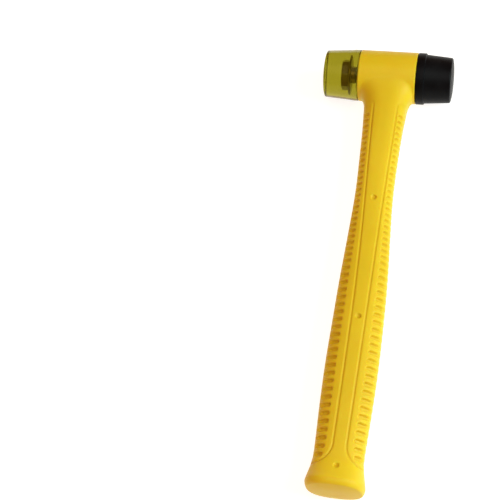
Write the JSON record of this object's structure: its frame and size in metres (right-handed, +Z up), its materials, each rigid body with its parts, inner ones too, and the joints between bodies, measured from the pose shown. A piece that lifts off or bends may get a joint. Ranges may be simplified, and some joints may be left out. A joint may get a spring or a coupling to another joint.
{
  "type": "two-way soft-faced mallet",
  "caption": "Soft-faced mallet with a moulded ribbed handle and barrel head, a screw-in clear plastic face on one side and a screw-in black rubber face on the other.",
  "frame": {"origin": "bottom centre of the bounding box of the mallet lying flat", "axes": "+Z up through the head's side, +Y along the handle from the butt to the head, +X along the head's axis towards the black rubber face"},
  "size_m": [0.09, 0.3202, 0.0358],
  "materials": {
    "yellow_plastic": "satin moulded",
    "clear_plastic": "clear, yellow-green tint",
    "black_rubber": "smooth moulded",
    "steel": "plain turned",
    "dark_steel": "black oxide"
  },
  "bodies": {
    "handle": {"handle_housing": "yellow_plastic", "handle_core": "steel", "head_block": "steel"},
    "clear_travel": {"clear_face_washer": "steel"},
    "clear_turn": {"clear_face": "clear_plastic", "clear_face_bolt": "dark_steel"},
    "black_travel": {"black_face_washer": "steel"},
    "black_turn": {"black_face": "black_rubber", "black_face_bolt": "dark_steel"}
  },
  "joints": [
    {"name": "clear_face_travel", "type": "slide", "parent": "handle", "child": "clear_travel", "axis": [-1, 0, 0], "range_m": [0, 0.0175]},
    {"name": "clear_face_unscrew", "type": "hinge", "parent": "clear_travel", "child": "clear_turn", "pos_m": [-0.03, 0.1422, 0.0179], "axis": [-1, 0, 0], "range_deg": [0, 5040]},
    {"name": "black_face_travel", "type": "slide", "parent": "handle", "child": "black_travel", "axis": [1, 0, 0], "range_m": [0, 0.0175]},
    {"name": "black_face_unscrew", "type": "hinge", "parent": "black_travel", "child": "black_turn", "pos_m": [0.03, 0.1422, 0.0179], "axis": [1, 0, 0], "range_deg": [0, 5040]}
  ],
  "couplings": [
    {"joint": "clear_face_travel", "follows": "clear_face_unscrew", "m_per_rad": 0.00019894},
    {"joint": "black_face_travel", "follows": "black_face_unscrew", "m_per_rad": 0.00019894}
  ]
}
